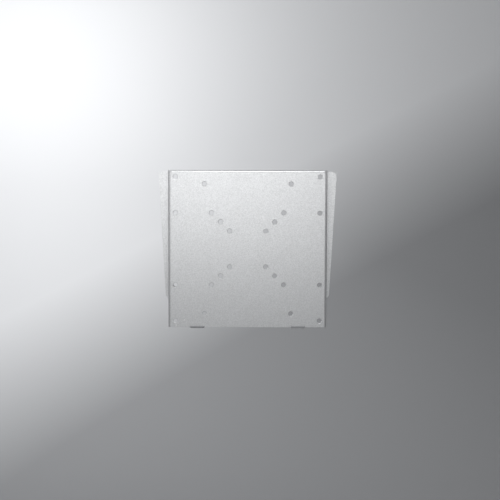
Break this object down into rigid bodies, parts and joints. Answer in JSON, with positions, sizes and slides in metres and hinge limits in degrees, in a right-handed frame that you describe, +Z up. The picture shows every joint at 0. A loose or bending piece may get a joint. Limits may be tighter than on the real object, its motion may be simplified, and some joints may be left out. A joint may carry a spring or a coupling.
{
  "type": "fixed tv wall mount",
  "caption": "Fixed wall mount of folded sheet steel: a square screen plate with round screw holes hangs on the hooks of a tapered wall plate and is locked by set screws from below.",
  "frame": {"origin": "centre of the wall fixing holes, on the wall plane", "axes": "+Y into the wall, +X to the viewer's right, +Z up"},
  "size_m": [0.2494, 0.022, 0.2198],
  "materials": {
    "wall_plate_coat": "silver powder coat, fine grain",
    "screen_plate_coat": "silver powder coat, fine grain",
    "nut_zinc": "zinc-plated steel",
    "screw_steel": "blackened steel"
  },
  "bodies": {
    "mount": {"wall_plate": "wall_plate_coat", "screen_plate": "screen_plate_coat", "weld_nut_left": "nut_zinc", "weld_nut_right": "nut_zinc"},
    "left_lock": {"lock_screw_left": "screw_steel"},
    "right_lock": {"lock_screw_right": "screw_steel"}
  },
  "joints": [
    {"name": "unlock_left", "type": "slide", "parent": "mount", "child": "left_lock", "axis": [0, 0, -1], "range_m": [0, 0.007]},
    {"name": "unlock_right", "type": "slide", "parent": "mount", "child": "right_lock", "axis": [0, 0, -1], "range_m": [0, 0.007]}
  ]
}
